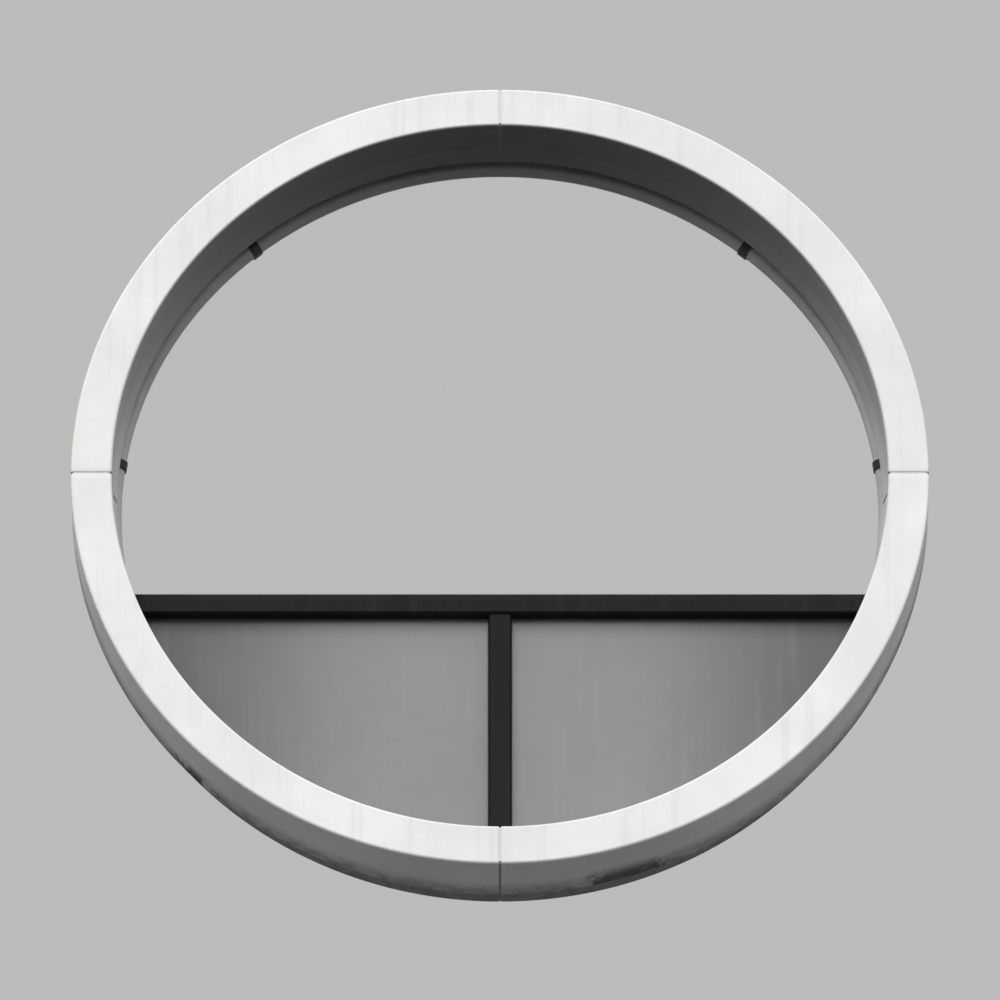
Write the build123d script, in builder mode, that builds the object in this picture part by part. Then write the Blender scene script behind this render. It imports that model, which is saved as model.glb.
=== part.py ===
from build123d import *
import os
from math import asin, cos, degrees, radians, sin

# Round window, in millimetres: a precast surround in four quarters, a strapped tube round the
# open upper rim, and a glazed guard across the lower part.
# X is to the right, Y goes inwards and Z is up. The origin is the centre of the round opening,
# on the plane of the hood's back.
# Clock angles are degrees from 12 o'clock, clockwise as seen from outside.

# Precast surround
opening_radius = 1130
face_width = 120
surround_projection = 220
reveal_straight_depth = 148
reveal_taper_width = 12
arris_width = 8
wall_bearing_width = 45
lining_recess_depth = 40
spigot_length = 150
joint_gap = 6
seal_setback = 2

# Sockets for anchors, in the back of the surround
anchors_per_quarter = 1
anchor_socket_diameter = 18
anchor_socket_depth = 90

# Guard rails: one extruded section, straight for the transom and bent for the sill
guard_setback = 33
transom_drop_height = 270
rail_height = 60
rail_depth = 70
rail_wall_thickness = 3
rail_corner_width = 4
rear_lip_thickness = 9
mullion_width = 65
mullion_setback = 8

# Panes and the rubber channel round them
glass_thickness = 10
glass_bite_depth = 14
gasket_side_thickness = 4
gasket_bed_thickness = 3
gasket_lip_height = 3
slot_floor_gap = 1

# Plates that carry the transom's ends
end_plate_thickness = 8
end_plate_height = 100
end_plate_overhang = 18

# Tube round the upper rim, its feet, straps and pads
tube_diameter = 48.6
tube_side_count = 12
foot_rim_width = 4
foot_height = 35
strap_angles = (40, 82)
strap_width = 30
strap_thickness = 4
strap_foot_length = 26
pad_width = 40

# Packers under the sill rail, at angles from 6 o'clock
packer_angles = (18, 48)
packer_length = 80
packer_width = 40

# Hexagon heads of the bolts that go into the precast
bolt_side_count = 6
bolt_head_width = 13
bolt_head_height = 5.3

# Clearances
seat_gap = 0.3
plate_gap = 3
overrun_length = 20
overrun_angle = 2

# Turns, in degrees
full_turn = 360
half_turn = full_turn / 2
quarter_turn = full_turn / 4

# Sizes that follow from those above
surround_radius = opening_radius + face_width
spigot_radius = surround_radius - wall_bearing_width
lining_radius = opening_radius + lining_recess_depth
anchor_radius = (spigot_radius + surround_radius) / 2
seat_radius = lining_radius - seat_gap
rim_radius = lining_radius - end_plate_thickness - foot_rim_width - plate_gap
rail_inner_radius = rim_radius - rail_height
rim_depth = guard_setback + rail_depth / 2
rail_back = guard_setback + rail_depth
glass_top = transom_drop_height + rail_height
slot_width = glass_thickness + 2 * gasket_side_thickness
slot_depth = glass_bite_depth + gasket_bed_thickness + slot_floor_gap
slot_back = rail_back - rear_lip_thickness
glass_depth = slot_back - slot_width / 2
cavity_height = rail_height - slot_depth - 2 * rail_wall_thickness
cavity_depth = rail_depth - 2 * rail_wall_thickness
tube_radius = tube_diameter / 2
tube_line_radius = rim_radius - tube_radius
foot_radius = tube_radius + foot_rim_width
strap_inner_radius = tube_radius + seat_gap
strap_outer_radius = strap_inner_radius + strap_thickness


def radial_section(clock):
    """Plane through the window's axis: its x is the distance from the axis and its y is Y."""
    outward = Vector(sin(radians(clock)), 0, cos(radians(clock)))
    return Plane(origin=(0, 0, 0), x_dir=outward, z_dir=outward.cross(Vector(0, 1, 0)))


def facing_axis(clock, radius, depth):
    """Plane square to a radius, facing the window's axis."""
    outward = Vector(sin(radians(clock)), 0, cos(radians(clock)))
    return Plane(origin=outward * radius + Vector(0, depth, 0), x_dir=(0, 1, 0), z_dir=outward * -1)


def facing_front(depth):
    """Plane square to the window's axis, facing out; a negative extrusion goes inwards."""
    return Plane.XZ.offset(-depth)


def arc_angle(length, radius):
    """Angle that an arc of this length takes at this radius."""
    return degrees(length / radius)


def clock_below(drop, radius):
    """Clock angle, on the right, of the point of a circle that lies this far below the centre."""
    return quarter_turn + degrees(asin(drop / radius))


# Planes and tables of places
back_plane = Plane(origin=(0, 0, 0), x_dir=(0, 0, 1), z_dir=(0, 1, 0))
quarter_starts = {
    "upper_right": 0,
    "lower_right": quarter_turn,
    "lower_left": half_turn,
    "upper_left": full_turn - quarter_turn,
}
joint_clocks = {
    "top": 0,
    "right": quarter_turn,
    "bottom": half_turn,
    "left": full_turn - quarter_turn,
}
strap_clocks = [side * angle for side in (-1, 1) for angle in strap_angles]
packer_clocks = [half_turn + side * angle for side in (-1, 1) for angle in packer_angles]
plate_clock = clock_below(transom_drop_height + rail_height / 2, lining_radius)
plate_clocks = {"right": plate_clock, "left": full_turn - plate_clock}
plate_span = arc_angle(end_plate_height, lining_radius)

# Where bolts go into the lining, as clock angle and depth
strap_foot_depth = rim_depth - strap_outer_radius - strap_foot_length / 2
strap_fixings = [(clock, strap_foot_depth) for clock in strap_clocks]
plate_fixings = [
    (clock, depth)
    for clock in plate_clocks.values()
    for depth in (guard_setback - end_plate_overhang / 2, rail_back + end_plate_overhang / 2)
]

os.makedirs("parts", exist_ok=True)


def surround_section(plane):
    """Section of the precast ring: the hood in front and the spigot behind it."""
    front = -surround_projection
    with BuildSketch(plane) as section:
        with BuildLine():
            Polyline(
                (opening_radius, front + arris_width),
                (opening_radius + arris_width, front),
                (surround_radius - arris_width, front),
                (surround_radius, front + arris_width),
                (surround_radius, 0),
                (spigot_radius, 0),
                (spigot_radius, spigot_length),
                (lining_radius, spigot_length),
                (lining_radius, 0),
                (opening_radius - reveal_taper_width, 0),
                (opening_radius, front + reveal_straight_depth),
                close=True,
            )
        make_face()
    return section.sketch


# Surround quarters, each with its anchor sockets
for quarter_name, start in quarter_starts.items():
    end = start + quarter_turn
    first_anchor = start + quarter_turn / anchors_per_quarter / 2
    with BuildPart() as surround_quarter:
        revolve(surround_section(radial_section(start)), axis=Axis.Y, revolution_arc=quarter_turn)
        split(bisect_by=radial_section(start).offset(-joint_gap / 2), keep=Keep.BOTTOM)
        split(bisect_by=radial_section(end).offset(joint_gap / 2), keep=Keep.TOP)
        with BuildSketch(back_plane):
            with PolarLocations(anchor_radius, anchors_per_quarter, first_anchor, quarter_turn):
                Circle(anchor_socket_diameter / 2)
        extrude(amount=-anchor_socket_depth, mode=Mode.SUBTRACT)
    surround_quarter.part.label = f"surround_{quarter_name}"
    export_step(surround_quarter.part, f"parts/surround_{quarter_name}.step")

# Sealant in the four joints, a little below the faces
for joint_name, clock in joint_clocks.items():
    with BuildPart() as joint_seal:
        with BuildSketch(radial_section(clock)):
            add(surround_section(Plane.XY))
            offset(amount=-seal_setback, kind=Kind.INTERSECTION, mode=Mode.REPLACE)
        extrude(amount=joint_gap / 2, both=True)
    joint_seal.part.label = f"joint_seal_{joint_name}"
    export_step(joint_seal.part, f"parts/joint_seal_{joint_name}.step")


def rail_section(plane, inner_side):
    """Section of the guard rail, with its glass slot towards the plane's origin."""
    with BuildSketch(plane) as section:
        with Locations((inner_side + rail_height / 2, rim_depth)):
            Rectangle(rail_height, rail_depth)
        with Locations((inner_side + slot_depth / 2, glass_depth)):
            Rectangle(slot_depth, slot_width, mode=Mode.SUBTRACT)
    return section.sketch


# Transom: a hollow rail with eased front edges, coped at its ends to the curved end plates
with BuildPart() as transom_rail:
    extrude(rail_section(radial_section(0), -glass_top), amount=lining_radius, both=True)
    chamfer(transom_rail.edges().filter_by(Axis.X).group_by(Axis.Y)[0], rail_corner_width)
    with BuildSketch(radial_section(0)):
        with Locations((-transom_drop_height - rail_wall_thickness - cavity_height / 2, rim_depth)):
            Rectangle(cavity_height, cavity_depth)
    extrude(amount=lining_radius, both=True, mode=Mode.SUBTRACT)
    with BuildSketch(facing_front(0)):
        Circle(seat_radius - end_plate_thickness - seat_gap)
    extrude(amount=-(rail_back + overrun_length), mode=Mode.INTERSECT)
transom_rail.part.label = "transom_rail"
export_step(transom_rail.part, "parts/transom_rail.step")

# Sill rail, bent round the lower rim and cut level under the transom
with BuildPart() as sill_rail:
    sill_start = clock_below(glass_top, rim_radius) - overrun_angle
    sill_arc = 2 * (half_turn - sill_start)
    sill_section = rail_section(radial_section(sill_start), rail_inner_radius)
    revolve(sill_section, axis=Axis.Y, revolution_arc=sill_arc)
    split(bisect_by=Plane.XY.offset(-glass_top), keep=Keep.BOTTOM)
sill_rail.part.label = "sill_rail"
export_step(sill_rail.part, "parts/sill_rail.step")

# Mullion, with a glass slot on each side, coped to the sill rail
with BuildPart() as mullion:
    mullion_depth = rail_depth - mullion_setback
    with BuildSketch(Plane.XY.offset(-glass_top)):
        with Locations((0, rail_back - mullion_depth / 2)):
            Rectangle(mullion_width, mullion_depth)
        for side in (-1, 1):
            with Locations((side * (mullion_width - slot_depth) / 2, glass_depth)):
                Rectangle(slot_depth, slot_width, mode=Mode.SUBTRACT)
        with Locations((0, rail_back - mullion_depth / 2)):
            Rectangle(
                mullion_width - 2 * slot_depth - 2 * rail_wall_thickness,
                mullion_depth - 2 * rail_wall_thickness,
                mode=Mode.SUBTRACT,
            )
    extrude(amount=-rail_inner_radius)
    chamfer(mullion.edges().filter_by(Axis.Z).group_by(Axis.Y)[0], rail_corner_width)
    with BuildSketch(facing_front(0)):
        Circle(rail_inner_radius - seat_gap)
    extrude(amount=-(rail_back + overrun_length), mode=Mode.INTERSECT)
mullion.part.label = "mullion"
export_step(mullion.part, "parts/mullion.step")


def pane_outline(side, depth, margin):
    """Outline of one pane's daylight opening, grown all round by a margin."""
    inner_edge = mullion_width / 2 - margin
    top_edge = margin - glass_top
    with BuildSketch(facing_front(depth)) as outline:
        Circle(rail_inner_radius + margin)
        with Locations((side * (inner_edge + surround_radius / 2), top_edge - surround_radius / 2)):
            Rectangle(surround_radius, surround_radius, mode=Mode.INTERSECT)
    return outline.sketch


# Panes, and the rubber channel that beds each of them in the slots
for side_name, side in {"left": -1, "right": 1}.items():
    pane_front = glass_depth - glass_thickness / 2
    slot_front = slot_back - slot_width
    with BuildPart() as pane:
        extrude(pane_outline(side, pane_front, glass_bite_depth), amount=-glass_thickness)
    pane.part.label = f"pane_{side_name}"
    export_step(pane.part, f"parts/pane_{side_name}.step")

    with BuildPart() as pane_gasket:
        extrude(pane_outline(side, slot_front, glass_bite_depth + gasket_bed_thickness), amount=-slot_width)
        extrude(pane_outline(side, slot_front, -gasket_lip_height), amount=-slot_width, mode=Mode.SUBTRACT)
        extrude(
            pane_outline(side, pane_front, glass_bite_depth),
            amount=-glass_thickness,
            mode=Mode.SUBTRACT,
        )
    pane_gasket.part.label = f"pane_gasket_{side_name}"
    export_step(pane_gasket.part, f"parts/pane_gasket_{side_name}.step")

# End plates, curved to the lining
for side_name, clock in plate_clocks.items():
    with BuildPart() as end_plate:
        with BuildSketch(radial_section(clock - plate_span / 2)):
            with Locations((seat_radius - end_plate_thickness / 2, rim_depth)):
                Rectangle(end_plate_thickness, rail_depth + 2 * end_plate_overhang)
        revolve(axis=Axis.Y, revolution_arc=plate_span)
    end_plate.part.label = f"end_plate_{side_name}"
    export_step(end_plate.part, f"parts/end_plate_{side_name}.step")

# Tube round the upper rim, from foot to foot; its round section is drawn with narrow sides
foot_top_clock = clock_below(transom_drop_height - foot_height, tube_line_radius)
with BuildPart() as rim_tube:
    with BuildSketch(radial_section(-foot_top_clock)):
        with Locations((tube_line_radius, rim_depth)):
            RegularPolygon(tube_radius, tube_side_count)
    revolve(axis=Axis.Y, revolution_arc=2 * foot_top_clock)
rim_tube.part.label = "rim_tube"
export_step(rim_tube.part, "parts/rim_tube.step")

# Feet that carry the ends of the tube, cut level where they stand on the transom
foot_end_clock = clock_below(transom_drop_height, tube_line_radius - foot_radius) + overrun_angle
foot_span = foot_end_clock - foot_top_clock
foot_starts = {"right": foot_top_clock, "left": full_turn - foot_end_clock}
for side_name, start in foot_starts.items():
    with BuildPart() as tube_foot:
        with BuildSketch(radial_section(start)):
            with Locations((tube_line_radius, rim_depth)):
                RegularPolygon(foot_radius, tube_side_count)
        revolve(axis=Axis.Y, revolution_arc=foot_span)
        split(bisect_by=Plane.XY.offset(-transom_drop_height), keep=Keep.TOP)
    tube_foot.part.label = f"tube_foot_{side_name}"
    export_step(tube_foot.part, f"parts/tube_foot_{side_name}.step")

# Saddle straps: each goes from a foot in front of the tube, over the tube, to the lining
# behind it
strap_span = arc_angle(strap_width, lining_radius)
saddle_reach = seat_radius - tube_line_radius
saddle_middle = (seat_radius + tube_line_radius) / 2
with BuildPart() as tube_straps:
    for clock in strap_clocks:
        with BuildSketch(radial_section(clock - strap_span / 2)):
            with Locations((tube_line_radius, rim_depth)):
                RegularPolygon(strap_outer_radius, tube_side_count)
            with Locations((saddle_middle, rim_depth)):
                Rectangle(saddle_reach, 2 * strap_outer_radius)
            with Locations((seat_radius - strap_thickness / 2, strap_foot_depth)):
                Rectangle(strap_thickness, strap_foot_length)
            with Locations((tube_line_radius, rim_depth)):
                RegularPolygon(strap_inner_radius, tube_side_count, mode=Mode.SUBTRACT)
            with Locations((saddle_middle, rim_depth)):
                Rectangle(saddle_reach, 2 * strap_inner_radius, mode=Mode.SUBTRACT)
        revolve(axis=Axis.Y, revolution_arc=strap_span)
tube_straps.part.label = "tube_straps"
export_step(tube_straps.part, "parts/tube_straps.step")

# Pads between the tube and the lining, one under each strap
with BuildPart() as strap_pads:
    for clock in strap_clocks:
        with BuildSketch(radial_section(clock - strap_span / 2)):
            with Locations((saddle_middle, rim_depth)):
                Rectangle(saddle_reach, pad_width)
            with Locations((tube_line_radius, rim_depth)):
                RegularPolygon(strap_inner_radius, tube_side_count, mode=Mode.SUBTRACT)
        revolve(axis=Axis.Y, revolution_arc=strap_span)
strap_pads.part.label = "strap_pads"
export_step(strap_pads.part, "parts/strap_pads.step")

# Packers between the sill rail and the lining
packer_span = arc_angle(packer_length, lining_radius)
packer_inner_radius = rim_radius + seat_gap
with BuildPart() as sill_packers:
    for clock in packer_clocks:
        with BuildSketch(radial_section(clock - packer_span / 2)):
            with Locations(((seat_radius + packer_inner_radius) / 2, rim_depth)):
                Rectangle(seat_radius - packer_inner_radius, packer_width)
        revolve(axis=Axis.Y, revolution_arc=packer_span)
sill_packers.part.label = "sill_packers"
export_step(sill_packers.part, "parts/sill_packers.step")

# Bolt heads, one group on the strap feet and one on the end plates
bolt_groups = {
    "strap_bolts": (strap_fixings, seat_radius - strap_thickness),
    "end_plate_bolts": (plate_fixings, seat_radius - end_plate_thickness),
}
for group_name, (fixings, seat) in bolt_groups.items():
    with BuildPart() as bolt_group:
        for clock, depth in fixings:
            with BuildSketch(facing_axis(clock, seat - seat_gap, depth)):
                RegularPolygon(bolt_head_width / 2, bolt_side_count, major_radius=False)
            extrude(amount=bolt_head_height)
    bolt_group.part.label = group_name
    export_step(bolt_group.part, f"parts/{group_name}.step")
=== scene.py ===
import math

import bmesh
import bpy
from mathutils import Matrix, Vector


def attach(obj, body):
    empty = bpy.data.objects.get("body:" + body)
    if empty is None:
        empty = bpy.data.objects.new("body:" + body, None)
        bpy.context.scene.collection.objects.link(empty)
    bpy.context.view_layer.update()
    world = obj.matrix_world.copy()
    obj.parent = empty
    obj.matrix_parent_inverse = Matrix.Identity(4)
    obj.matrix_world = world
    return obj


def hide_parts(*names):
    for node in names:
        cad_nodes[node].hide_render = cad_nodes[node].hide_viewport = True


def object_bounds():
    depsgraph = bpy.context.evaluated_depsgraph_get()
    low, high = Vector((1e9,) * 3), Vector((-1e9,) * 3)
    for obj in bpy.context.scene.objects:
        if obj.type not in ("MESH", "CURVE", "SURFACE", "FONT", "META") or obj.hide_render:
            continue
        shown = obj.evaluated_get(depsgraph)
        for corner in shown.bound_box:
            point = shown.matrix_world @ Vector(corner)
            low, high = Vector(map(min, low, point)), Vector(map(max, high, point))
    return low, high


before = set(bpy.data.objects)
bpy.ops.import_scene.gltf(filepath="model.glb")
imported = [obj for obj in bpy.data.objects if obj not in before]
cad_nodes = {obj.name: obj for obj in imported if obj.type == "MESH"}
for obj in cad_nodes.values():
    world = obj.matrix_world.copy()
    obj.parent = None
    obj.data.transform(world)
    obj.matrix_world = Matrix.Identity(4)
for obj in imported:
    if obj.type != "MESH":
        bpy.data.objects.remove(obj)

cad_box = [list(corner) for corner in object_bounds()]


# Surround quarters
# The ring is four precast concrete units, cast in a smooth mould: a hood in front, painted
# off-white, and behind it a spigot that is bedded in mortar and left bare on its outer side.
# Rain has left two stains low on the ring; grime and painted shade darken the hood's rear edge
# and the underside of its reveal.
opening_radius = 1.130
face_width = 0.120
surround_front = -0.220
reveal_straight_depth = 0.148
reveal_taper_width = 0.012
wall_face = 0.0
wall_bearing_width = 0.045
lining_recess_depth = 0.040
spigot_back = 0.150
half_joint = 0.003
arris_round = 0.008
taper_round = 0.010
bearing_round = 0.003
rear_round = 0.004
joint_edge_round = 0.002
quarter_steps = 120
quarter_starts = {"upper_right": 0, "lower_right": 90, "lower_left": 180, "upper_left": 270}

surround_radius = opening_radius + face_width
taper_start = surround_front + reveal_straight_depth
taper_radius = opening_radius - reveal_taper_width
spigot_radius = surround_radius - wall_bearing_width
lining_radius = opening_radius + lining_recess_depth


def at_clock(radius, depth, clock):
    """Point at a radius and depth, at a clock angle from 12 o'clock, clockwise from outside."""
    turn = math.radians(clock)
    return (radius * math.sin(turn), depth, radius * math.cos(turn))


def rounded_outline(corners, steps=6, support=0.001):
    """Closed section outline from (radius, depth, rounding) corners, each turned into an arc.

    A support point beside each arc keeps the flats between them flat in the shading.
    """
    outline = []
    for place, (radius, depth, rounding) in enumerate(corners):
        here = Vector((radius, depth))
        if not rounding:
            outline.append(here)
            continue
        back = (Vector(corners[place - 1][:2]) - here).normalized()
        ahead = (Vector(corners[(place + 1) % len(corners)][:2]) - here).normalized()
        half_angle = back.angle(ahead) / 2
        reach = rounding / math.tan(half_angle)
        centre = here + (back + ahead).normalized() * rounding / math.sin(half_angle)
        start = here + back * reach - centre
        end = here + ahead * reach - centre
        outline.append(here + back * (reach + support))
        for step in range(steps + 1):
            outline.append(centre + start.lerp(end, step / steps).normalized() * rounding)
        outline.append(here + ahead * (reach + support))
    return outline


def inset_outline(outline, amount):
    """The same outline, drawn in by a small amount."""
    area = sum(a.cross(b) for a, b in zip(outline, outline[1:] + outline[:1]))
    side = math.copysign(1, area)
    drawn_in = []
    for place, here in enumerate(outline):
        back = (here - outline[place - 1]).normalized()
        ahead = (outline[(place + 1) % len(outline)] - here).normalized()
        inward = Vector((-back.y - ahead.y, back.x + ahead.x)) * side
        drawn_in.append(here + inward * amount / (1 + back.dot(ahead)))
    return drawn_in


def sweep(outline, start_clock, end_clock, steps, end_round):
    """Loops of a section carried round the window's axis, with its end edges rounded over.

    start_clock and end_clock give each radius its own angle, for level or parallel cuts.
    """
    round_steps = 3
    starts = []
    for step in range(round_steps + 1):
        turn = math.pi / 2 * step / round_steps
        starts.append((0, end_round * (1 - math.cos(turn)), end_round * (1 - math.sin(turn))))
    middle = [(step / steps, 0, 0) for step in range(1, steps)]
    ends = [(1, -along, drawn) for _, along, drawn in reversed(starts)]
    loops = []
    for share, along, drawn in starts + middle + ends:
        loop = []
        for radius, depth in inset_outline(outline, drawn) if drawn else outline:
            first, last = start_clock(radius), end_clock(radius)
            clock = first + (last - first) * share + math.degrees(along / radius)
            loop.append(at_clock(radius, depth, clock))
        loops.append(loop)
    return loops


def new_piece(name, sweeps, material, replaced):
    """Object made of capped sweeps, riding on the window and standing for CAD nodes."""
    sharp_angle = math.radians(34)
    points, faces = [], []
    for loops in sweeps:
        count = len(loops[0])
        first = len(points)
        for row, loop in enumerate(loops):
            points.extend(loop)
            if row:
                near, far = first + (row - 1) * count, first + row * count
                for i in range(count):
                    j = (i + 1) % count
                    faces.append((near + i, near + j, far + j, far + i))
        faces.append(tuple(range(first, first + count)))
        faces.append(tuple(range(len(points) - count, len(points))))
    mesh = bpy.data.meshes.new(name)
    mesh.from_pydata(points, [], faces)
    shell = bmesh.new()
    shell.from_mesh(mesh)
    bmesh.ops.recalc_face_normals(shell, faces=shell.faces)
    shell.to_mesh(mesh)
    shell.free()
    mesh.polygons.foreach_set("use_smooth", [True] * len(mesh.polygons))
    mesh.set_sharp_from_angle(angle=sharp_angle)
    mesh.materials.append(material)
    piece = bpy.data.objects.new(name, mesh)
    bpy.context.scene.collection.objects.link(piece)
    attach(piece, "root")
    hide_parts(*replaced)


def put(tree, kind, inputs=None, **settings):
    """New shader node; an input is a plain value or the socket that feeds it."""
    node = tree.nodes.new("ShaderNode" + kind)
    for name, value in settings.items():
        setattr(node, name, value)
    for key, value in (inputs or {}).items():
        if isinstance(value, bpy.types.NodeSocket):
            tree.links.new(value, node.inputs[key])
        else:
            node.inputs[key].default_value = value
    return node


def sum_of(tree, operation, first, second=0.0, clamp=False):
    """Result of a Math node."""
    inputs = {0: first, 1: second}
    return put(tree, "Math", inputs, operation=operation, use_clamp=clamp).outputs[0]


def ramp(tree, value, low, high, low_result=0.0, high_result=1.0):
    """Smooth change from one result to another while a value goes from low to high."""
    inputs = {
        "Value": value,
        "From Min": low,
        "From Max": high,
        "To Min": low_result,
        "To Max": high_result,
    }
    return put(tree, "MapRange", inputs, interpolation_type="SMOOTHSTEP").outputs[0]


def blend_colour(tree, share, first, second):
    """Colour between two others."""
    mix = put(tree, "Mix", {0: share, 6: first, 7: second}, data_type="RGBA")
    return mix.outputs[2]


def lay_over(tree, tone, mask, amount, colour):
    """Tone with another colour laid over it by a mask; the amount is a number or a mask too."""
    return blend_colour(tree, sum_of(tree, "MULTIPLY", mask, amount), tone, colour)


def cloud(tree, vector, scale, detail, roughness):
    """Value of a noise; scale is its number of features per metre."""
    inputs = {"Vector": vector, "Scale": scale, "Detail": detail, "Roughness": roughness}
    return put(tree, "TexNoise", inputs).outputs[0]


def new_group(name, inputs, outputs):
    """Empty effect group, with its input and output nodes."""
    tree = bpy.data.node_groups.new(name, "ShaderNodeTree")
    number = "NodeSocketFloat"
    for socket_name, value in inputs.items():
        socket = tree.interface.new_socket(socket_name, in_out="INPUT", socket_type=number)
        socket.default_value = value
    for socket_name in outputs:
        tree.interface.new_socket(socket_name, in_out="OUTPUT", socket_type=number)
    group_in = tree.nodes.new("NodeGroupInput").outputs
    group_out = tree.nodes.new("NodeGroupOutput").inputs
    return tree, group_in, group_out


def place_group(tree, group, inputs=None):
    """Outputs of an effect group placed in a material."""
    return put(tree, "Group", inputs, node_tree=group).outputs


def new_finish(name, metallic=0.0, transmission=0.0, gloss=0.5):
    """Material with its Principled shader, as the material, its tree and the shader's inputs."""
    material = bpy.data.materials.new(name)
    material.use_nodes = True
    shader = material.node_tree.nodes["Principled BSDF"]
    shader.inputs["Metallic"].default_value = metallic
    shader.inputs["Transmission Weight"].default_value = transmission
    shader.inputs["Specular IOR Level"].default_value = gloss
    return material, material.node_tree, shader.inputs


def feed(tree, shader, colour, roughness, height, relief, strength):
    """Colour, roughness and relief of a finish; relief is the grain's height in metres."""
    tree.links.new(colour, shader["Base Color"])
    tree.links.new(roughness, shader["Roughness"])
    bump = put(tree, "Bump", {"Height": height, "Distance": relief, "Strength": strength})
    tree.links.new(bump.outputs[0], shader["Normal"])


# Where a point lies on the round window
place_outputs = ("Radius", "Clock", "Depth", "Facing Up")
window_place, _, place_out = new_group("place on the window", {}, place_outputs)
spot = put(window_place, "TexCoord").outputs["Object"]
normal = put(window_place, "NewGeometry").outputs["Normal"]
along = put(window_place, "SeparateXYZ", {0: spot}).outputs
facing = put(window_place, "SeparateXYZ", {0: normal}).outputs
level = put(window_place, "CombineXYZ", {0: along[0], 2: along[2]}).outputs[0]
length = put(window_place, "VectorMath", {0: level}, operation="LENGTH").outputs["Value"]
turned = sum_of(window_place, "ARCTAN2", along[0], along[2])
clock = sum_of(window_place, "MULTIPLY", turned, math.degrees(1))
for result, socket in zip((length, clock, along[1], facing[2]), place_out):
    window_place.links.new(result, socket)

# Fine grain of a coated surface, and a broad cloudy change of tone
grain_outputs = ("Height", "Clouds")
coat_grain, grain_in, grain_out = new_group("coat grain", {"Grain Size": 0.004}, grain_outputs)
spot = put(coat_grain, "TexCoord").outputs["Object"]
grain_scale = sum_of(coat_grain, "DIVIDE", 1.0, grain_in["Grain Size"])
fine = cloud(coat_grain, spot, grain_scale, detail=3.0, roughness=0.6)
broad = cloud(coat_grain, spot, scale=3.2, detail=6.0, roughness=0.62)
coat_grain.links.new(fine, grain_out["Height"])
coat_grain.links.new(ramp(coat_grain, broad, 0.3, 0.72), grain_out["Clouds"])

# Dust on what faces up, and streaks that water has drawn down the surface
dirt_outputs = ("Dust", "Streaks")
settled_dirt, dirt_in, dirt_out = new_group("settled dirt", {"Patchiness": 0.5}, dirt_outputs)
streak_stretch = (1.0, 1.0, 0.045)
spot = put(settled_dirt, "TexCoord").outputs["Object"]
facing_up = place_group(settled_dirt, window_place)["Facing Up"]
patches = cloud(settled_dirt, spot, scale=7.0, detail=7.0, roughness=0.65)
patches = ramp(settled_dirt, patches, 0.35, 0.65)
patched = sum_of(settled_dirt, "MULTIPLY", patches, dirt_in["Patchiness"])
even_share = sum_of(settled_dirt, "SUBTRACT", 1.0, dirt_in["Patchiness"])
dust_share = sum_of(settled_dirt, "ADD", patched, even_share)
dust = sum_of(settled_dirt, "MULTIPLY", ramp(settled_dirt, facing_up, 0.2, 0.9), dust_share)
drawn_down = put(settled_dirt, "Mapping", {"Vector": spot, "Scale": streak_stretch}).outputs[0]
streaks = cloud(settled_dirt, drawn_down, scale=34.0, detail=4.0, roughness=0.6)
settled_dirt.links.new(dust, dirt_out["Dust"])
settled_dirt.links.new(ramp(settled_dirt, streaks, 0.5, 0.74), dirt_out["Streaks"])

paint_dull = (0.73, 0.73, 0.72, 1)
paint_bright = (0.81, 0.81, 0.80, 1)
rain_grey = (0.40, 0.40, 0.385, 1)
ledge_dust = (0.34, 0.335, 0.32, 1)
# painted shade with some grime, for the underside of the reveal
soffit_shade_and_grime = (0.26, 0.258, 0.25, 1)
# painted contact shade with some grime, along the hood's rear edge
rear_edge_shade_and_grime = (0.18, 0.178, 0.17, 1)
stain_black = (0.06, 0.059, 0.056, 1)
concrete_dark = (0.24, 0.237, 0.228, 1)
concrete_light = (0.35, 0.346, 0.335, 1)

painted_precast, tree, shader = new_finish("painted precast", gloss=0.0)
place = place_group(tree, window_place)
grain = place_group(tree, coat_grain, {"Grain Size": 0.0035})
dirt = place_group(tree, settled_dirt, {"Patchiness": 0.55})
spot = put(tree, "TexCoord").outputs["Object"]
uneven = cloud(tree, spot, scale=24.0, detail=6.0, roughness=0.65)
uneven_low, uneven_high = 0.3, 0.7
paint = blend_colour(tree, grain["Clouds"], paint_dull, paint_bright)
paint = lay_over(tree, paint, dirt["Streaks"], amount=0.16, colour=rain_grey)
paint = lay_over(tree, paint, dirt["Dust"], amount=0.55, colour=ledge_dust)

# Painted shade under the hood, darker where the reveal faces down, with some grime where no rain
# reaches
inner_side = ramp(tree, place["Radius"], opening_radius + 0.001, opening_radius + 0.010, 1.0, 0.0)
facing_down_shade = ramp(tree, place["Facing Up"], -0.9, 0.3, 0.8, 0.0)
paint = lay_over(tree, paint, inner_side, facing_down_shade, soffit_shade_and_grime)

# Painted contact shade with some grime along the hood's rear edge, all round the outer side
rear_edge_shade_reach = 0.100
outer_side = ramp(tree, place["Radius"], surround_radius - 0.0045, surround_radius - 0.0015)
near_wall = ramp(tree, place["Depth"], -rear_edge_shade_reach, wall_face - 0.004)
rear_edge_shade_line = sum_of(tree, "MULTIPLY", near_wall, outer_side)
patchy = ramp(tree, uneven, uneven_low, uneven_high, 0.4, 0.85)
paint = lay_over(tree, paint, rear_edge_shade_line, patchy, rear_edge_shade_and_grime)

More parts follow.
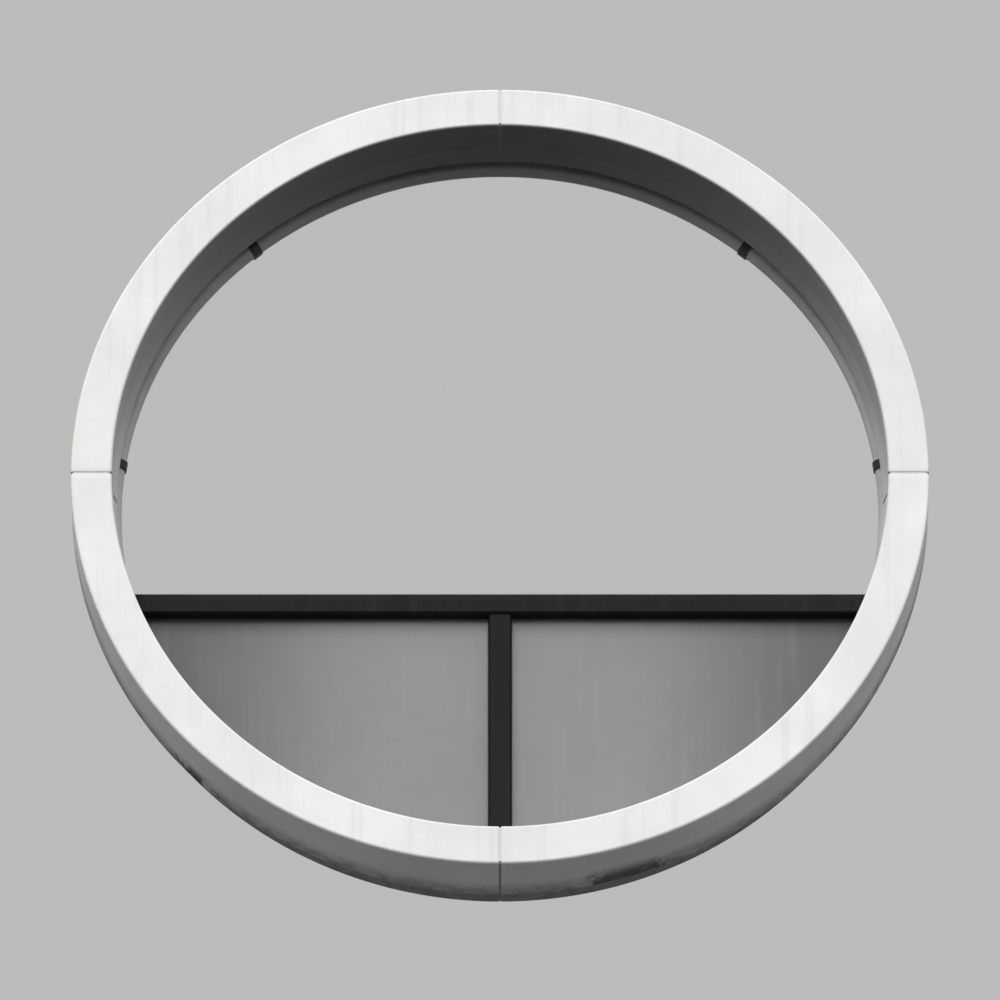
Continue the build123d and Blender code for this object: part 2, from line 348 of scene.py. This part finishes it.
# Two dark stains low on the outer side: clock angle, half width, reach forward of the rear edge
stain_strength = 0.75
stain_ragged = 2.5
for stain_clock, half_width, reach in ((163.0, 6.5, 0.12), (-135.0, 3.5, 0.09)):
    away = sum_of(tree, "ABSOLUTE", sum_of(tree, "SUBTRACT", place["Clock"], stain_clock))
    rag = ramp(tree, uneven, uneven_low, uneven_high, stain_ragged, -stain_ragged)
    ragged = sum_of(tree, "ADD", away, rag)
    stain = ramp(tree, ragged, half_width * 0.3, half_width, stain_strength, 0.0)
    stain = sum_of(tree, "MULTIPLY", stain, outer_side)
    stain_depth = ramp(tree, place["Depth"], -reach, -reach * 0.25)
    paint = lay_over(tree, paint, stain, stain_depth, stain_black)

# Bare concrete where the ring is bedded in mortar: the spigot's outer side and the hood's back
beside_wall = ramp(tree, place["Radius"], spigot_radius - 0.0035, spigot_radius - 0.0015)
behind_face = ramp(tree, place["Depth"], wall_face - 0.002, wall_face - 0.0005)
mottle = ramp(tree, uneven, uneven_low, uneven_high)
concrete = blend_colour(tree, mottle, concrete_dark, concrete_light)
paint = lay_over(tree, paint, beside_wall, behind_face, concrete)

# Grey edges beside the four joints
half_quarter = 45.0
from_joint = sum_of(tree, "PINGPONG", place["Clock"], half_quarter)
paint = lay_over(tree, paint, ramp(tree, from_joint, 0.12, 0.6, 0.22, 0.0), uneven, rain_grey)

chalky = ramp(tree, grain["Clouds"], 0.0, 1.0, 0.88, 0.74)
feed(tree, shader, paint, chalky, grain["Height"], relief=0.0012, strength=0.5)

surround_outline = rounded_outline((
    (opening_radius, surround_front, arris_round),
    (surround_radius, surround_front, arris_round),
    (surround_radius, wall_face, bearing_round),
    (spigot_radius, wall_face, bearing_round),
    (spigot_radius, spigot_back, rear_round),
    (lining_radius, spigot_back, rear_round),
    (lining_radius, wall_face, bearing_round),
    (taper_radius, wall_face, rear_round),
    (opening_radius, taper_start, taper_round),
))
for quarter, start in quarter_starts.items():
    loops = sweep(
        surround_outline,
        lambda radius: start + math.degrees(math.asin(half_joint / radius)),
        lambda radius: start + 90 - math.degrees(math.asin(half_joint / radius)),
        quarter_steps,
        joint_edge_round,
    )
    new_piece("precast_" + quarter, [loops], painted_precast, ["surround_" + quarter])


# Joint seals
# The four joints of the ring are filled with grey sealant, tooled a little below the faces. It
# has gone chalky, and it is painted darker where it faces down, as shade.
sealant_dull = (0.60, 0.60, 0.59, 1)
sealant_bright = (0.70, 0.70, 0.69, 1)
sealant_dust = (0.2, 0.198, 0.19, 1)
# painted shade for the sealant where it faces down
sealant_shade = (0.16, 0.159, 0.155, 1)


def paint_node(node, material):
    """Gives a CAD node its finish."""
    cad_nodes[node].data.materials.clear()
    cad_nodes[node].data.materials.append(material)


sealant, tree, shader = new_finish("joint sealant")
place = place_group(tree, window_place)
grain = place_group(tree, coat_grain, {"Grain Size": 0.009})
dirt = place_group(tree, settled_dirt, {"Patchiness": 0.6})
tone = blend_colour(tree, grain["Clouds"], sealant_dull, sealant_bright)
tone = lay_over(tree, tone, dirt["Dust"], amount=0.5, colour=sealant_dust)
# Painted shade: the sealant darker where it faces down
underside_shade = ramp(tree, place["Facing Up"], -0.9, -0.2, 0.7, 0.0)
tone = blend_colour(tree, underside_shade, tone, sealant_shade)
chalky = ramp(tree, grain["Clouds"], 0.0, 1.0, 0.7, 0.9)
feed(tree, shader, tone, chalky, grain["Height"], relief=0.0015, strength=0.4)
for joint in ("top", "right", "bottom", "left"):
    paint_node("joint_seal_" + joint, sealant)


# Transom, mullion and end plates
# Extruded aluminium with a dark satin coat. The transom spans the opening between two plates
# bolted to the lining, and the mullion hangs from it to the sill. Dust lies on what faces up.
coat_dull = (0.009, 0.009, 0.0092, 1)
coat_bright = (0.013, 0.013, 0.0133, 1)
coat_streaks = (0.10, 0.10, 0.097, 1)
coat_dust = (0.22, 0.218, 0.21, 1)

dark_coat, tree, shader = new_finish("dark satin coat", gloss=0.06)
grain = place_group(tree, coat_grain, {"Grain Size": 0.0022})
dirt = place_group(tree, settled_dirt, {"Patchiness": 0.45})
tone = blend_colour(tree, grain["Clouds"], coat_dull, coat_bright)
tone = lay_over(tree, tone, dirt["Streaks"], amount=0.06, colour=coat_streaks)
tone = lay_over(tree, tone, dirt["Dust"], amount=0.40, colour=coat_dust)
satin = ramp(tree, grain["Clouds"], 0.0, 1.0, 0.38, 0.52)
dusty = sum_of(tree, "MULTIPLY", dirt["Dust"], 0.3)
satin = sum_of(tree, "ADD", satin, dusty, clamp=True)
feed(tree, shader, tone, satin, grain["Height"], relief=0.0003, strength=0.35)
for node in ("transom_rail", "mullion", "end_plate_left", "end_plate_right"):
    paint_node(node, dark_coat)


# Sill rail
# The same dark section bent round the lower rim, with a slot for the glass on its inner side.
# It is cut level where it meets the underside of the transom.
sill_gap = 0.015
rail_height = 0.060
rail_depth = 0.070
rail_front = 0.033
rear_lip_thickness = 0.009
slot_width = 0.018
slot_depth = 0.018
transom_drop = 0.270
rail_front_round = 0.0035
rail_back_round = 0.002
slot_edge_round = 0.001
sill_steps = 180
sill_end_round = 0.0005

rail_outer = lining_radius - sill_gap
rail_inner = rail_outer - rail_height
rail_back = rail_front + rail_depth
slot_back = rail_back - rear_lip_thickness
slot_front = slot_back - slot_width
slot_floor = rail_inner + slot_depth
transom_underside = transom_drop + rail_height

sill_outline = rounded_outline((
    (rail_inner, rail_front, rail_front_round),
    (rail_outer, rail_front, rail_front_round),
    (rail_outer, rail_back, rail_back_round),
    (rail_inner, rail_back, rail_back_round),
    (rail_inner, slot_back, slot_edge_round),
    (slot_floor, slot_back, 0),
    (slot_floor, slot_front, 0),
    (rail_inner, slot_front, slot_edge_round),
), support=0.0005)
sill_loops = sweep(
    sill_outline,
    lambda radius: 90 + math.degrees(math.asin(transom_underside / radius)),
    lambda radius: 270 - math.degrees(math.asin(transom_underside / radius)),
    sill_steps,
    sill_end_round,
)
new_piece("curved_sill", [sill_loops], dark_coat, ["sill_rail"])


# Packers, pads and gaskets
# Moulded rubber and plastic that is pressed between other pieces: blocks under the sill rail,
# pads between the tube and the lining, and the channel that beds each pane.
rubber_dark = (0.016, 0.016, 0.016, 1)
rubber_worn = (0.034, 0.034, 0.033, 1)
rubber_dust = (0.20, 0.198, 0.19, 1)

black_rubber, tree, shader = new_finish("black rubber")
grain = place_group(tree, coat_grain, {"Grain Size": 0.0016})
dirt = place_group(tree, settled_dirt, {"Patchiness": 0.6})
tone = blend_colour(tree, grain["Clouds"], rubber_dark, rubber_worn)
tone = lay_over(tree, tone, dirt["Dust"], amount=0.5, colour=rubber_dust)
matt = ramp(tree, grain["Clouds"], 0.0, 1.0, 0.62, 0.8)
feed(tree, shader, tone, matt, grain["Height"], relief=0.0003, strength=0.4)
for node in ("sill_packers", "strap_pads", "pane_gasket_left", "pane_gasket_right"):
    paint_node(node, black_rubber)


# Panes
# Two panes of frosted glass fill the guard. One face is etched, so they let light through but
# no view. Rain has left faint runs, and painted shade makes the glass darker towards the sides.
glass_dull = (0.235, 0.238, 0.238, 1)
glass_bright = (0.28, 0.284, 0.284, 1)
# painted shade towards the sides of the panes
glass_side_shade = (0.10, 0.101, 0.10, 1)
glass_runs = (0.46, 0.462, 0.46, 1)

frosted_glass, tree, shader = new_finish("frosted glass", transmission=0.45, gloss=0.2)
grain = place_group(tree, coat_grain, {"Grain Size": 0.0012})
dirt = place_group(tree, settled_dirt, {"Patchiness": 0.5})
spot = put(tree, "TexCoord").outputs["Object"]
across = put(tree, "SeparateXYZ", {0: spot}).outputs[0]
tone = blend_colour(tree, grain["Clouds"], glass_dull, glass_bright)
# Painted shade: the panes darker towards the sides of the opening
side_shade = ramp(tree, sum_of(tree, "ABSOLUTE", across), 0.30, 1.0, 0.0, 0.9)
tone = blend_colour(tree, side_shade, tone, glass_side_shade)
tone = lay_over(tree, tone, dirt["Streaks"], amount=0.09, colour=glass_runs)
etched = ramp(tree, grain["Clouds"], 0.0, 1.0, 0.46, 0.56)
feed(tree, shader, tone, etched, grain["Height"], relief=0.0002, strength=0.5)
for node in ("pane_left", "pane_right"):
    paint_node(node, frosted_glass)


# Rim tube
# A steel tube, bent to the curve of the opening and painted pale grey, follows the open upper
# rim. Its two ends stand in wider feet on the transom.
tube_radius = 0.0243
foot_rim_width = 0.004
foot_height = 0.035
tube_sides = 40
tube_steps = 220
tube_end_round = 0.0005
foot_steps = 4
foot_end_round = 0.0015
tube_dull = (0.46, 0.46, 0.452, 1)
tube_bright = (0.54, 0.54, 0.53, 1)
tube_streaks = (0.32, 0.318, 0.31, 1)
tube_dust = (0.28, 0.277, 0.265, 1)

tube_line = rail_outer - tube_radius
tube_depth = rail_front + rail_depth / 2
foot_radius = tube_radius + foot_rim_width
foot_top = transom_drop - foot_height
tube_end_clock = 90 + math.degrees(math.asin(foot_top / tube_line))


def round_outline(radius):
    """Round section of the tube or of a foot."""
    turns = [2 * math.pi * step / tube_sides for step in range(tube_sides)]
    return [
        Vector((tube_line + radius * math.cos(turn), tube_depth + radius * math.sin(turn)))
        for turn in turns
    ]


pale_paint, tree, shader = new_finish("pale tube paint", gloss=0.12)
grain = place_group(tree, coat_grain, {"Grain Size": 0.0025})
dirt = place_group(tree, settled_dirt, {"Patchiness": 0.5})
tone = blend_colour(tree, grain["Clouds"], tube_dull, tube_bright)
tone = lay_over(tree, tone, dirt["Streaks"], amount=0.2, colour=tube_streaks)
tone = lay_over(tree, tone, dirt["Dust"], amount=0.5, colour=tube_dust)
satin = ramp(tree, grain["Clouds"], 0.0, 1.0, 0.36, 0.5)
feed(tree, shader, tone, satin, grain["Height"], relief=0.0003, strength=0.4)

tube_loops = sweep(
    round_outline(tube_radius),
    lambda radius: -tube_end_clock,
    lambda radius: tube_end_clock,
    tube_steps,
    tube_end_round,
)
new_piece("rim_pipe", [tube_loops], pale_paint, ["rim_tube"])
for side, hand in (("left", -1), ("right", 1)):
    foot_loops = sweep(
        round_outline(foot_radius),
        lambda radius: hand * tube_end_clock,
        lambda radius: hand * (90 + math.degrees(math.asin(transom_drop / radius))),
        foot_steps,
        foot_end_round,
    )
    new_piece("pipe_foot_" + side, [foot_loops], pale_paint, ["tube_foot_" + side])


# Straps
# Four saddle straps of flat steel, painted dark, hold the tube to the lining. Each is bent over
# the tube and has a flat foot in front of it, with one bolt.
strap_clocks = (-82, -40, 40, 82)
strap_half_width = 0.015
strap_thickness = 0.004
strap_foot_length = 0.026
seat_gap = 0.0003
strap_steps = 4
strap_arc_steps = 24
strap_edge_round = 0.0006
strap_dark = (0.018, 0.018, 0.018, 1)
strap_worn = (0.036, 0.036, 0.035, 1)
strap_dust = (0.22, 0.217, 0.205, 1)

strap_inner = tube_radius + seat_gap
strap_outer = strap_inner + strap_thickness
strap_seat = lining_radius - seat_gap
strap_foot_front = tube_depth - strap_outer - strap_foot_length
half_span = math.degrees(strap_half_width / lining_radius)
quarter_turn = math.pi / 2


def saddle_arc(radius, first_turn, last_turn):
    """Half round over the tube, from one leg of the strap to the other."""
    arc = []
    for step in range(strap_arc_steps + 1):
        turn = first_turn + (last_turn - first_turn) * step / strap_arc_steps
        from_axis = tube_line - radius * math.cos(turn)
        arc.append(Vector((from_axis, tube_depth - radius * math.sin(turn))))
    return arc


dark_paint, tree, shader = new_finish("dark strap paint", gloss=0.3)
grain = place_group(tree, coat_grain, {"Grain Size": 0.002})
dirt = place_group(tree, settled_dirt, {"Patchiness": 0.5})
tone = blend_colour(tree, grain["Clouds"], strap_dark, strap_worn)
tone = lay_over(tree, tone, dirt["Dust"], amount=0.4, colour=strap_dust)
matt = ramp(tree, grain["Clouds"], 0.0, 1.0, 0.42, 0.6)
feed(tree, shader, tone, matt, grain["Height"], relief=0.0004, strength=0.5)

strap_outline = [
    Vector((strap_seat, strap_foot_front)),
    Vector((strap_seat - strap_thickness, strap_foot_front)),
    Vector((strap_seat - strap_thickness, tube_depth - strap_outer)),
    *saddle_arc(strap_outer, quarter_turn, -quarter_turn),
    Vector((strap_seat, tube_depth + strap_outer)),
    Vector((strap_seat, tube_depth + strap_inner)),
    *saddle_arc(strap_inner, -quarter_turn, quarter_turn),
    Vector((strap_seat, tube_depth - strap_inner)),
]
strap_loops = []
for clock in strap_clocks:
    strap_loops.append(sweep(
        strap_outline,
        lambda radius: clock - half_span,
        lambda radius: clock + half_span,
        strap_steps,
        strap_edge_round,
    ))
new_piece("saddle_straps", strap_loops, dark_paint, ["tube_straps"])


# Bolts
# Hexagon heads hold the strap feet and the end plates to the lining. They are dull galvanized
# steel, with a little rust.
zinc_dull = (0.30, 0.30, 0.30, 1)
zinc_bright = (0.42, 0.42, 0.42, 1)
rust_brown = (0.20, 0.095, 0.045, 1)

dull_steel, tree, shader = new_finish("dull galvanized steel", metallic=0.7)
grain = place_group(tree, coat_grain, {"Grain Size": 0.003})
spot = put(tree, "TexCoord").outputs["Object"]
rust = cloud(tree, spot, scale=90.0, detail=5.0, roughness=0.55)
tone = blend_colour(tree, grain["Height"], zinc_dull, zinc_bright)
tone = blend_colour(tree, ramp(tree, rust, 0.55, 0.75, 0.0, 0.6), tone, rust_brown)
rusty = ramp(tree, rust, 0.4, 0.75, 0.45, 0.8)
feed(tree, shader, tone, rusty, grain["Height"], relief=0.0004, strength=0.5)
for node in ("strap_bolts", "end_plate_bolts"):
    paint_node(node, dull_steel)


# Floor
# Plain pale studio floor under the ring, with the ring's shadow on it. It shows only from above
# and lets light through, so that a camera and a light below it reach the ring.
floor_gap = 0.002
floor_half = 60.0
floor_grey = (0.46, 0.46, 0.46, 1)
floor_level = cad_box[0][2] - floor_gap


def seen_rays(tree):
    """1 for rays that show the backdrop: straight to the camera, mirrored, or through glass."""
    path = put(tree, "LightPath").outputs
    outside = sum_of(tree, "ADD", path["Is Camera Ray"], path["Is Glossy Ray"], clamp=True)
    return sum_of(tree, "ADD", outside, path["Is Transmission Ray"], clamp=True)


mesh = bpy.data.meshes.new("floor")
sides = ((-1, -1), (1, -1), (1, 1), (-1, 1))
corners = [(x * floor_half, y * floor_half, floor_level) for x, y in sides]
mesh.from_pydata(corners, [], [(0, 1, 2, 3)])
floor = bpy.data.objects.new("floor", mesh)
bpy.context.scene.collection.objects.link(floor)
floor_finish = bpy.data.materials.new("pale floor")
floor_finish.use_nodes = True
tree = floor_finish.node_tree
tree.nodes.clear()
seen = seen_rays(tree)
matt = put(tree, "BsdfDiffuse", {"Color": floor_grey}).outputs[0]
clear = put(tree, "BsdfTransparent").outputs[0]
from_above = sum_of(tree, "SUBTRACT", 1.0, put(tree, "NewGeometry").outputs["Backfacing"])
shown = sum_of(tree, "MULTIPLY", seen, from_above)
one_sided = put(tree, "MixShader", {0: shown, 1: clear, 2: matt}).outputs[0]
put(tree, "OutputMaterial", {"Surface": one_sided})
mesh.materials.append(floor_finish)


# Light
# A bright sky above the window and in front of it, dimmer behind, with some light from both
# sides and almost none from the ground. One soft light comes from the upper left in front, a
# weaker one from the upper back, and a faint one from straight below.
sky_middle = (0.0, -0.4, 0.85)
sky_dark, sky_bright = 0.004, 1.1
rear_sky_share = 0.3
side_sky = 0.45
backdrop_grey = (0.50, 0.50, 0.50, 1)


def soft_light(name, place, width, strength):
    """Distant soft light from a place towards the window; width is in degrees."""
    lamp = bpy.data.lights.new(name, "SUN")
    lamp.angle = math.radians(width)
    lamp.energy = strength
    light = bpy.data.objects.new(name, lamp)
    light.location = place
    light.rotation_mode = "QUATERNION"
    light.rotation_quaternion = (-Vector(place)).to_track_quat("-Z", "Y")
    bpy.context.scene.collection.objects.link(light)


soft_light("sky light", place=(-1.2, -9.0, 7.0), width=50, strength=2.2)
soft_light("rear light", place=(0.0, 8.0, 9.0), width=40, strength=1.6)
soft_light("ground light", place=(0.0, 0.02, -1.0), width=2, strength=0.38)

studio = bpy.data.worlds.new("studio")
studio.use_nodes = True
bpy.context.scene.world = studio
tree = studio.node_tree
tree.nodes.clear()
seen = seen_rays(tree)
look = put(tree, "TexCoord").outputs["Generated"]
aim = put(tree, "SeparateXYZ", {0: look}).outputs
way = put(tree, "VectorMath", {0: look, 1: sky_middle}, operation="DOT_PRODUCT").outputs["Value"]
sky = ramp(tree, way, 0.05, 0.65, sky_dark, sky_bright)
sky = sum_of(tree, "MULTIPLY", sky, ramp(tree, aim[1], 0.0, 0.6, 1.0, rear_sky_share))
sideways = ramp(tree, sum_of(tree, "ABSOLUTE", aim[0]), 0.6, 0.95, 0.0, side_sky)
sky = sum_of(tree, "MAXIMUM", sky, sideways)
backdrop = blend_colour(tree, seen, sky, backdrop_grey)
put(tree, "OutputWorld", {"Surface": put(tree, "Background", {"Color": backdrop}).outputs[0]})


# Camera
# The ring is seen from far below, square on, through a long lens, so that its sides stay
# almost parallel.
view_elevation = math.radians(-25.5)
view_distance = 60.0
view_width = 2.92
view_end = 400.0
view_centre = (Vector(cad_box[0]) + Vector(cad_box[1])) / 2
lens = bpy.data.cameras.new("street camera")
lens.lens = lens.sensor_width * view_distance / view_width
lens.clip_end = view_end
camera = bpy.data.objects.new("street camera", lens)
back = Vector((0.0, -math.cos(view_elevation), math.sin(view_elevation)))
camera.location = view_centre + back * view_distance
camera.rotation_mode = "QUATERNION"
camera.rotation_quaternion = (-back).to_track_quat("-Z", "Y")
bpy.context.scene.collection.objects.link(camera)
bpy.context.scene.camera = camera
bpy.context.scene.view_settings.view_transform = "Standard"
